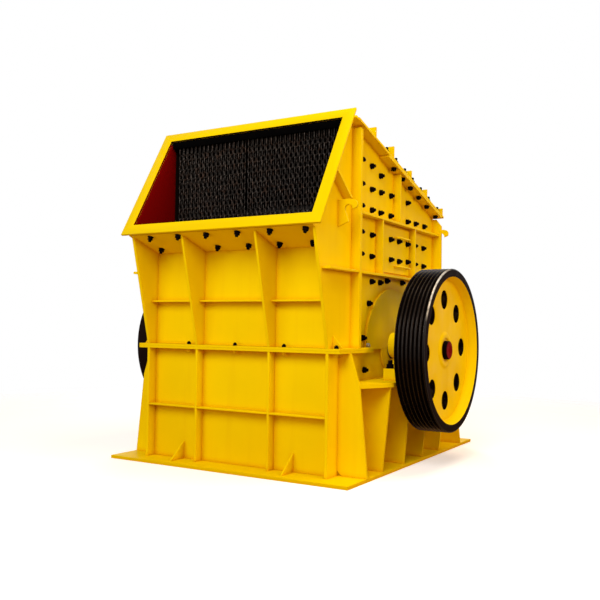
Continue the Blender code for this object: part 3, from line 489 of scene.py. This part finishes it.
greasePlug = {"x": 0.7560, "depth": 0.650, "height": 0.839}
bearingFoot = {"across": (0.880, 0.951), "depths": (0.757, 1.365), "height": 0.6835}
for word, side in bothSides:
    plugPoint = at(side * greasePlug["x"], greasePlug["depth"], greasePlug["height"])
    setNuts(f"grease_plug_{word}", "plug", [(plugPoint, (side, 0, 0))], "zinc_plug")
    footPlaces = [(at(side * x, depth, bearingFoot["height"]), (0, 0, 1))
                  for x in bearingFoot["across"] for depth in bearingFoot["depths"]]
    setNuts(f"bearing_nuts_{word}", "foot", footPlaces)
print("nuts placed")


# twist and jitter in degrees; the curtain hangs in two halves with a parting
chain = {"wire": 0.0082, "pitch": 0.03625, "width": 0.0365, "columns": 35, "leftHalf": 16, "parting": 0.012,
         "rows": 19, "spacing": 0.0379, "firstX": -0.650, "depth": 0.355, "hangerTop": 2.300, "firstHeight": 2.200,
         "barRadius": 0.014, "barClear": 0.0005, "sides": 6, "turns": 12, "twist": 4, "jitter": 3, "sway": 0.0015,
         "swayBack": 1.5}


def linkShape(size, innerLength, bend):
    # A ring of wire, its two halves drawn apart.
    shape = bmesh.new()
    start = Matrix.Rotation(math.pi / size["turns"], 4, "Y") @ Matrix.Translation((bend, 0, 0))
    ring = bmesh.ops.create_circle(shape, segments=size["sides"], radius=size["wire"] / 2, matrix=start)
    edges = list({edge for vert in ring["verts"] for edge in vert.link_edges})
    bmesh.ops.spin(shape, geom=ring["verts"] + edges, cent=(0, 0, 0), axis=(0, 1, 0), angle=math.tau,
                   steps=size["turns"], use_merge=True)
    bmesh.ops.remove_doubles(shape, verts=shape.verts, dist=1e-6)
    stretch = innerLength / 2 + size["wire"] / 2 - bend
    for direction in (-1, 1):
        half = [vert for vert in shape.verts if vert.co.z * direction > 0]
        bmesh.ops.translate(shape, vec=(0, 0, direction * stretch), verts=half)
    return meshOf("link_template", shape)


def chainCurtain(size):
    link = linkShape(size, size["pitch"], (size["width"] - size["wire"]) / 2)
    barGap = size["barRadius"] + size["wire"] / 2 + size["barClear"]
    hangerInner = size["hangerTop"] - size["firstHeight"] - size["pitch"] / 2
    hanger = linkShape(size, hangerInner, barGap)
    shape = bmesh.new()

    def put(template, x, back, height, turn):
        place = Matrix.Translation(at(x, size["depth"] + back, height))
        stamp(shape, template, place @ Matrix.Rotation(math.radians(turn), 4, "Z"))

    for column in range(size["columns"]):
        x = size["firstX"] + column * size["spacing"] + (size["parting"] if column >= size["leftHalf"] else 0)
        put(hanger, x, 0, size["hangerTop"] - hangerInner / 2, 90)
        twist = random.uniform(-size["twist"], size["twist"])
        sway = random.uniform(-size["sway"], size["sway"])
        for row in range(size["rows"]):
            hang = row / size["rows"]
            turn = (90 if row % 2 else 0) + twist + random.uniform(-size["jitter"], size["jitter"])
            height = size["firstHeight"] - row * size["pitch"]
            put(link, x + sway * hang, size["swayBack"] * sway * hang, height, turn)
    return finishPiece("feed_chains", shape, ["chain_steel"], "housing", sharp=60)


rail = {"width": 1.402, "depths": (0.318, 0.326), "heights": (2.26775, 2.31225), "edge": 0.002}


def curtainRail(size):
    # The flat bar across the top of the mouth that covers the hangers, in a black so dark that it is also painted
    # shade.
    shape = bmesh.new()
    addPlate(shape, 0, size["width"], size["depths"], size["heights"])
    easeEdges(shape, shape.edges[:], size["edge"])
    return finishPiece("curtain_rail", shape, ["black_and_painted_shade"], "housing")


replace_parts(chainCurtain(chain), "chain_curtain")
curtainRail(rail)
print("chains hung")


# redTo and redRight: how far up the frame and to the right its window's edges are red; past them the edges are black
# as painted shade
mouth = {"half": 0.80, "frontDepth": -0.107, "low": 1.587, "run": 0.461, "rise": 0.804, "bar": 0.080,
         "topBar": 0.071, "thick": 0.016, "edge": 0.0022, "redTo": 0.6, "redRight": 0.1}


def feedFrame(size):
    # A flat frame of plate, leaning back, with eased edges.
    lean = math.atan2(size["rise"], size["run"])
    length = math.hypot(size["rise"], size["run"])
    bar, topBar, edge = size["bar"], size["topBar"], size["edge"]
    shape = bmesh.new()
    flat = Matrix.Translation((0, length / 2, 0)) @ Matrix.Diagonal((size["half"], length / 2, 1, 1))
    bmesh.ops.create_grid(shape, x_segments=1, y_segments=1, size=1, matrix=flat)
    bmesh.ops.inset_region(shape, faces=shape.faces[:], thickness=bar, use_boundary=True, use_even_offset=True)
    shape.faces.ensure_lookup_table()
    window = min(shape.faces, key=lambda face: (face.calc_center_median() - Vector((0, length / 2, 0))).length)
    upper = [vert for vert in window.verts if vert.co.y > length / 2]
    bmesh.ops.translate(shape, vec=(0, bar - topBar, 0), verts=upper)
    bmesh.ops.delete(shape, geom=[window], context="FACES_ONLY")
    pushOut(shape, shape.faces[:], (0, 0, -size["thick"]))
    bmesh.ops.recalc_face_normals(shape, faces=shape.faces)
    easeEdges(shape, sharpEdges(shape), edge)
    # The window's own edges get painted shade in black at the top and right, and are red elsewhere, as the chute
    # behind them is.
    for face in shape.faces:
        middle = face.calc_center_median()
        across = abs(middle.x) < size["half"] - bar + edge
        along = bar - edge < middle.y < length - topBar + edge
        if across and along and middle.z < -edge:
            face.material_index = 1 if middle.y > length * size["redTo"] or middle.x > size["redRight"] else 2
    bmesh.ops.rotate(shape, matrix=Matrix.Rotation(lean, 3, "X"), verts=shape.verts)
    bmesh.ops.translate(shape, vec=at(0, size["frontDepth"], size["low"]), verts=shape.verts)
    return finishPiece("feed_frame", shape, ["mouth_enamel_lit_copy", "blacked_bolts", "red_enamel"], "housing")


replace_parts(feedFrame(mouth), "mouth_frame")

# section: depth and height of its corners, from the roof's front end to the back of the feed frame
roofLip = {"half": 0.812, "paintedShadeHalf": 0.720, "topFacing": 0.2, "sharp": 0.2, "edge": 0.0012,
           "section": ((0.3715, 2.3268), (0.3409, 2.3352), (0.3326, 2.3206), (0.3715, 2.3102))}


def roofNose(size):
    # The strip that closes the roof's front end. Between the side plates only its top is yellow; its other faces
    # there are painted shade in black.
    shape = bmesh.new()
    corners = [shape.verts.new(at(-size["half"], depth, height)) for depth, height in size["section"]]
    pushOut(shape, [shape.faces.new(corners)], (2 * size["half"], 0, 0))
    for x in (-size["paintedShadeHalf"], size["paintedShadeHalf"]):
        bmesh.ops.bisect_plane(shape, geom=shape.verts[:] + shape.edges[:] + shape.faces[:],
                               plane_co=(x, 0, 0), plane_no=(1, 0, 0))
    bmesh.ops.recalc_face_normals(shape, faces=shape.faces)
    # Painted shade: the faces between the side plates that don't face up are made black.
    for face in shape.faces:
        between = abs(face.calc_center_median().x) < size["paintedShadeHalf"] / 2
        if between and face.normal.z < size["topFacing"]:
            face.material_index = 1
    easeEdges(shape, sharpEdges(shape, size["sharp"]), size["edge"])
    return finishPiece("roof_lip", shape, ["yellow_enamel", "black_and_painted_shade"], "housing")


roofNose(roofLip)
print("feed frame and roof lip fitted")


# The ribbed wall under the split flange. Its ribs end flush with the side walls' front edges.
lowerFront = {"face": 0.200, "thick": 0.020, "foot": 0.0223, "top": 0.7937, "half": 0.7197, "front": 0.1285,
              "ribX": 0.296, "ribThick": 0.016, "shelfFront": 0.130, "shelfLow": 0.387, "shelfThick": 0.012,
              "gussetX": 0.450, "gussetThick": 0.012, "gussetFront": 0.055, "gussetHeight": 0.130, "edge": 0.0015}


def lowerFrontPlates(size):
    shape = bmesh.new()
    width = 2 * size["half"]
    root = size["face"] + size["thick"] / 2
    foot, top, shelf = size["foot"], size["top"], size["shelfLow"]
    addPlate(shape, 0, width, (size["face"], size["face"] + size["thick"]), (foot, top))
    addPlate(shape, 0, width, (size["shelfFront"], root), (shelf, shelf + size["shelfThick"]))
    for side in (-1, 1):
        addPlate(shape, side * size["ribX"], size["ribThick"], (size["front"], root), (foot, top))
        section = ((size["gussetFront"], foot), (root, foot), (root, foot + size["gussetHeight"]))
        left = side * size["gussetX"] - size["gussetThick"] / 2
        corners = [shape.verts.new(at(left, depth, height)) for depth, height in section]
        pushOut(shape, [shape.faces.new(corners)], (size["gussetThick"], 0, 0))
    easeEdges(shape, shape.edges[:], size["edge"])
    return finishPiece("lower_front_plates", shape, ["yellow_enamel"], "housing")


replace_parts(lowerFrontPlates(lowerFront), "lower_front_panel")
print("lower front plates set")


def turnProfile(shape, points, steps, closed=True):
    # points: (x, radius) round the section of a turned piece
    verts = [shape.verts.new((x, axleCentre.y, axleCentre.z + radius)) for x, radius in points]
    pairs = list(zip(verts, verts[1:])) + ([(verts[-1], verts[0])] if closed else [])
    edges = [shape.edges.new(pair) for pair in pairs]
    bmesh.ops.spin(shape, geom=verts + edges, cent=axleCentre, axis=(1, 0, 0), angle=math.tau, steps=steps,
                   use_merge=True)
    bmesh.ops.remove_doubles(shape, verts=shape.verts, dist=1e-6)


# Places along the axle count from a wheel's back. clock: degrees that the holes are turned by.
# frontPaint: how far the front's look reaches into the holes; backPaint: how far the back's reaches forward.
# rubbedAndHighlight: how far in from the rim's front corner the painted highlight reaches.
wheelSize = {"radius": 0.567, "steps": 144, "hubSteps": 96, "rimFace": 0.055, "corner": 0.009, "rubbedAndHighlight": 0.008,
             "webOuter": 0.505, "webInner": 0.118, "webMargin": 0.02, "holes": 8, "hole": 0.066,
             "holePitch": 0.352, "holeSides": 32, "holeEdge": 0.004, "hub": 0.1235, "clock": 2.2,
             "frontPaint": 0.003, "backPaint": 0.005}
pulley = {**wheelSize, "back": 1.018, "width": 0.210, "groovePitch": 0.0286, "grooves": 7,
          "webFront": 0.142, "webBack": 0.092, "hubFront": 0.152, "hubBack": 0.042}
flywheel = {**wheelSize, "back": -1.020, "width": 0.160,
            "webFront": 0.110, "webBack": 0.070, "hubFront": 0.118, "hubBack": 0.010}
# half widths and drops of a groove's flank, from its top to its floor, as shares of the pitch
grooveFlank = ((0.445, 0), (0.425, 0.042), (0.16, 0.83), (0.13, 0.84))


def drilledWeb(shape, size, back, front):
    # The web around one hole is bridged to it, repeated round the axle, and thickened.
    part = math.tau / size["holes"]
    web = bmesh.new()
    corners = []
    for radius, steps in ((size["webOuter"], 14), (size["webInner"], 6)):
        start = web.verts.new((back, radius * math.sin(-part / 2), radius * math.cos(-part / 2)))
        arc = bmesh.ops.spin(web, geom=[start], cent=(0, 0, 0), axis=(-1, 0, 0), angle=part, steps=steps)
        last = [item for item in arc["geom_last"] if isinstance(item, bmesh.types.BMVert)][0]
        corners.append((start, last))
    sides = [web.edges.new((corners[0][end], corners[1][end])) for end in (0, 1)]
    bmesh.ops.subdivide_edges(web, edges=sides, cuts=5)
    outline = list(web.edges)
    hole = Matrix.Translation((back, 0, size["holePitch"])) @ Matrix.Rotation(math.pi / 2, 4, "Y")
    bmesh.ops.create_circle(web, segments=size["holeSides"], radius=size["hole"], matrix=hole)
    rim = [edge for edge in web.edges if edge not in outline]
    bmesh.ops.bridge_loops(web, edges=outline + rim)
    bmesh.ops.spin(web, geom=web.verts[:] + web.edges[:] + web.faces[:], cent=(0, 0, 0), axis=(1, 0, 0),
                   angle=math.tau - part, steps=size["holes"] - 1, use_duplicate=True)
    bmesh.ops.remove_doubles(web, verts=web.verts, dist=1e-5)
    pushOut(web, web.faces[:], (front - back, 0, 0))
    bmesh.ops.recalc_face_normals(web, faces=web.faces)
    near, far = size["webInner"] + size["webMargin"], size["webOuter"] - size["webMargin"]
    onHoles = {vert for vert in web.verts if near < math.hypot(vert.co.y, vert.co.z) < far}
    rims = [edge for edge in sharpEdges(web) if all(vert in onHoles for vert in edge.verts)]
    easeEdges(web, rims, size["holeEdge"], steps=3)
    bmesh.ops.rotate(web, matrix=Matrix.Rotation(math.radians(size["clock"]), 3, "X"), verts=web.verts)
    bmesh.ops.translate(web, vec=(0, axleCentre.y, axleCentre.z), verts=web.verts)
    shape.from_mesh(meshOf("web_part", web))


def rimSection(size):
    # Outside of the rim from its face to its back, then the tapered inside.
    width, radius, face = size["width"], size["radius"], size["webFront"]
    points = [(width, radius - size["rimFace"])]
    for turn in (0, 30, 60, 90):
        across, out = math.cos(math.radians(turn)), math.sin(math.radians(turn))
        points.append((width - size["corner"] * (1 - across), radius - size["corner"] * (1 - out)))
    if "grooves" in size:
        pitch = size["groovePitch"]
        edge = (width - (size["grooves"] - 1) * pitch) / 2
        for index in range(size["grooves"]):
            middle = width - edge - index * pitch
            points += [(middle + half * pitch, radius - drop * pitch) for half, drop in grooveFlank]
            points += [(middle - half * pitch, radius - drop * pitch) for half, drop in reversed(grooveFlank)]
    points += [(0.006, radius), (0.0018, radius - 0.0015), (0, radius - 0.006), (0, radius - 0.047),
               (size["webBack"] - 0.010, radius - 0.058), (size["webBack"], radius - 0.070),
               (face, radius - 0.080), (face + 0.003, radius - 0.074), (face + 0.010, radius - 0.070),
               (width - 0.003, radius - 0.057)]
    return points


def hubSection(size):
    bore = axle["radius"] + 0.0002
    hub, front, back = size["hub"], size["hubFront"], size["hubBack"]
    return [(front - 0.008, bore), (front - 0.008, bore + 0.012), (front - 0.001, bore + 0.019),
            (front, bore + 0.022), (front, hub - 0.018), (front - 0.0015, hub - 0.010), (front - 0.005, hub - 0.003),
            (size["webFront"] + 0.002, hub + 0.002), (size["webFront"], hub + 0.008),
            (size["webFront"] - 0.004, hub + 0.010), (size["webBack"] + 0.004, hub + 0.010),
            (size["webBack"], hub + 0.004), (back + 0.004, hub), (back, hub - 0.004), (back, bore)]


def wheelPart(size, forward, radius):
    # Which of a wheel's looks a face gets: 0 outside, 1 the hollow in front, 2 the rim's face, 3 its edge with the
    # painted highlight.
    slack = 0.0005
    onRim = radius > size["radius"] - size["rimFace"] - slack
    inHole = abs(radius - size["holePitch"]) < size["hole"] and forward < size["webFront"] - size["frontPaint"]
    if forward > size["width"] - size["rubbedAndHighlight"] and radius > size["radius"] - size["rubbedAndHighlight"]:
        return 3
    if onRim and forward > size["width"] - slack:
        return 2
    return 0 if onRim or inHole or forward < size["webBack"] + size["backPaint"] else 1


def wheel(name, size, looks, flip=1):
    # flip: 1 for a face to the right, -1 for one to the left
    shape = bmesh.new()

    def place(points):
        return [(size["back"] + flip * x, radius) for x, radius in points]

    turnProfile(shape, place(rimSection(size)), size["steps"])
    turnProfile(shape, place(hubSection(size)), size["hubSteps"])
    drilledWeb(shape, size, size["back"] + flip * size["webBack"], size["back"] + flip * size["webFront"])
    bmesh.ops.recalc_face_normals(shape, faces=shape.faces)
    for polygon in shape.faces:
        middle = polygon.calc_center_median()
        radius = math.hypot(middle.y - axleCentre.y, middle.z - axleCentre.z)
        polygon.material_index = wheelPart(size, (middle.x - size["back"]) * flip, radius)
    return finishPiece(name, shape, looks, "rotor", sharp=28)


pulleyLooks = ["black_enamel", "yellow_enamel", "black_face", "rim_painted_highlight"]
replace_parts(wheel("pulley_casting", pulley, pulleyLooks), "drive_pulley")
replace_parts(wheel("flywheel_casting", flywheel, ["black_face"] * 4, flip=-1), "flywheel")
print("wheels turned")


# The ring is a shallow turned groove in the right end; past "painted" the shaft is black.
shaft = {"right": 1.195, "left": -1.228, "chamfer": 0.005, "shoulder": 0.680, "shoulderRadius": 0.090,
         "fillet": 0.006, "painted": 1.0, "ring": (0.010, 0.022), "ringDepth": 0.002, "ringSide": 0.004, "steps": 72}


def rotorShaft(size):
    radius, chamfer, fillet = axle["radius"], size["chamfer"], size["fillet"]
    right, left, shoulder = size["right"], size["left"], size["shoulder"]
    ringInner, ringOuter = size["ring"]
    ringFloor = right - size["ringDepth"]
    points = [(right, 0), (right, ringInner), (ringFloor, ringInner + size["ringSide"]),
              (ringFloor, ringOuter - size["ringSide"]), (right, ringOuter),
              (right, radius - chamfer), (right - chamfer, radius), (size["painted"], radius),
              (shoulder + fillet, radius), (shoulder, radius + fillet), (shoulder, size["shoulderRadius"]),
              (-shoulder, size["shoulderRadius"]), (-shoulder, radius + fillet), (-shoulder - fillet, radius),
              (-size["painted"], radius), (left + chamfer, radius), (left, radius - chamfer), (left, 0)]
    shape = bmesh.new()
    turnProfile(shape, points, size["steps"], closed=False)
    bmesh.ops.recalc_face_normals(shape, faces=shape.faces)
    for polygon in shape.faces:
        middle = polygon.calc_center_median()
        fromAxle = math.hypot(middle.y - axleCentre.y, middle.z - axleCentre.z)
        endFace = min(abs(middle.x - right), abs(middle.x - left)) < size["ringDepth"] + 0.0001
        if endFace and fromAxle < radius - chamfer / 2:
            polygon.material_index = 1
        elif abs(middle.x) > size["painted"]:
            polygon.material_index = 2
    return finishPiece("turned_shaft", shape, ["turned_steel", "red_enamel", "blacked_bolts"], "rotor")


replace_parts(rotorShaft(shaft), "rotor_shaft")


# step: how far the ring with the bolts stands out; ease: where its outer edge is eased
bearingCover = {"faces": (("outer", 0.985, 1), ("inner", 0.846, -1)), "thick": 0.016, "step": 0.0096,
                "ease": 0.0064, "bore": 0.0715, "radius": 0.122, "pitch": 0.100, "bolts": 6, "steps": 64}


def bearingRing(name, size, side, face, outward):
    # A turned end cover on the side of a bearing. Gives the places of its ring of bolts.
    shape = bmesh.new()

    def x(rise):
        return side * (face + outward * rise)

    thick, step, bore, radius = size["thick"], size["step"], size["bore"], size["radius"]
    section = [(x(-seat), bore), (x(thick), bore), (x(thick), bore + 0.010), (x(step), bore + 0.014),
               (x(step), radius - 0.004), (x(size["ease"]), radius), (x(-seat), radius)]
    turnProfile(shape, section, size["steps"])
    finishPiece(name, shape, ["yellow_enamel"], "housing")
    places = []
    for index in range(size["bolts"]):
        turn = math.tau * (index + 0.5) / size["bolts"]
        spot = axleCentre + Vector((0, size["pitch"] * math.sin(turn), size["pitch"] * math.cos(turn)))
        places.append(((x(step - seat), spot.y, spot.z), (side * outward, 0, 0)))
    return places


for word, side in bothSides:
    boltPlaces = []
    for end, face, outward in bearingCover["faces"]:
        boltPlaces += bearingRing(f"bearing_ring_{word}_{end}", bearingCover, side, face, outward)
    setNuts(f"bearing_ring_bolts_{word}", "cover", boltPlaces)
print("bearings dressed")


# angles in radians; the lens is for a 36 mm sensor
view = {"yaw": 0.5343, "pitch": 0.0328, "roll": 0.0138, "lens": 45.33, "place": (2.9788, -5.1070, 0.9727)}


def placeCamera(settings):
    yaw, pitch, roll = settings["yaw"], settings["pitch"], settings["roll"]
    flat = Vector((-math.sin(yaw), math.cos(yaw), 0))
    side = Vector((math.cos(yaw), math.sin(yaw), 0))
    up = Vector((0, 0, 1))
    ahead = math.cos(pitch) * flat + math.sin(pitch) * up
    lift = -math.sin(pitch) * flat + math.cos(pitch) * up
    right = math.cos(roll) * side + math.sin(roll) * lift
    top = -math.sin(roll) * side + math.cos(roll) * lift
    data = bpy.data.cameras.new("camera")
    data.lens = settings["lens"]
    data.sensor_width = 36
    data.clip_end = 100
    camera = bpy.data.objects.new("camera", data)
    camera.matrix_world = Matrix.Translation(settings["place"]) @ Matrix((right, top, -ahead)).transposed().to_4x4()
    scene.collection.objects.link(camera)
    scene.camera = camera


# bounce: the shade that the machine gets from below; seen and lift: how white the camera sees the floor
floorLook = {"radius": 7.0, "fadeFrom": 3.4, "fadeTo": 6.0, "bounce": (0.44, 0.28, 0.16), "seen": 0.90,
             "speck": 0.01, "lift": 0.40}


def paleFloor(size):
    # Seen as white paper with the machine's shadow, fading into the white behind it.
    shape = bmesh.new()
    bmesh.ops.create_circle(shape, cap_ends=True, segments=64, radius=size["radius"])
    mesh = meshOf("floor", shape)
    floor = bpy.data.objects.new("floor", mesh)
    scene.collection.objects.link(floor)
    finish, tree, shader, coords = startFinish("pale_floor")
    seen = tree.nodes.new("ShaderNodeLightPath").outputs["Is Camera Ray"]
    paper = spread(tree, grain(tree, coords, 3, 3), *noiseRange, size["seen"] - size["speck"],
                   size["seen"] + size["speck"])
    paper = addNode(tree, "ShaderNodeCombineColor", {0: paper, 1: paper, 2: paper}).outputs[0]
    plug(tree, shader.inputs["Base Color"], blendShades(tree, seen, size["bounce"], paper))
    shader.inputs["Roughness"].default_value = 0.9
    shader.inputs["Specular IOR Level"].default_value = 0.0
    plug(tree, shader.inputs["Emission Color"], (1, 1, 1))
    plug(tree, shader.inputs["Emission Strength"], spread(tree, seen, 0, 1, 0, size["lift"]))
    away = addNode(tree, "ShaderNodeVectorMath", {0: coords}, operation="LENGTH").outputs["Value"]
    plug(tree, shader.inputs["Alpha"], spread(tree, away, size["fadeFrom"], size["fadeTo"], 1, 0))
    mesh.materials.append(finish)


worldFill = {"shade": (1.0, 0.63, 0.36), "strength": 0.33}


def softWorld(fill):
    # White where it is seen or mirrored, and a warm fill for everything else.
    world = bpy.data.worlds.new("studio")
    world.use_nodes = True
    scene.world = world
    tree = world.node_tree
    path = tree.nodes.new("ShaderNodeLightPath").outputs
    seen = calc(tree, "MAXIMUM", path["Is Camera Ray"], path["Is Transmission Ray"])
    seen = calc(tree, "MAXIMUM", seen, path["Is Glossy Ray"])
    background = tree.nodes["Background"].inputs
    plug(tree, background["Color"], blendShades(tree, seen, fill["shade"], (1, 1, 1)))
    plug(tree, background["Strength"], spread(tree, seen, 0, 1, fill["strength"], 1.0))


lamps = {
    # place, aim, size, watts, shade
    "key": ((1.8, -6.2, 5.0), (0, -0.2, 1.1), 3.6, 285, (1.0, 1.0, 1.0)),
    "side": ((6.3, -1.2, 3.0), (0.6, 0, 1.0), 3.0, 155, (1.0, 0.75, 0.50)),
    "front": ((-2.6, -6.0, 2.4), (0, -0.4, 1.1), 3.0, 60, (1.0, 1.0, 1.0)),
    "top": ((2.3, 0.2, 6.6), (0.6, 0, 1.0), 3.0, 150, (1.0, 0.85, 0.65)),
    "back": ((-4.0, 5.5, 4.0), (0, 0.2, 1.0), 3.0, 200, (1.0, 1.0, 1.0)),
}


def hangLamp(name, place, aim, size, watts, shade):
    data = bpy.data.lights.new(name, "AREA")
    data.shape = "DISK"
    data.size = size
    data.energy = watts
    data.color = shade
    lamp = bpy.data.objects.new(name, data)
    lamp.location = place
    lamp.rotation_euler = (Vector(aim) - Vector(place)).to_track_quat("-Z", "Y").to_euler()
    scene.collection.objects.link(lamp)


placeCamera(view)
paleFloor(floorLook)
softWorld(worldFill)
for lampName, settings in lamps.items():
    hangLamp(lampName, *settings)
scene.view_settings.view_transform = "Standard"
print("camera, floor and lights set")
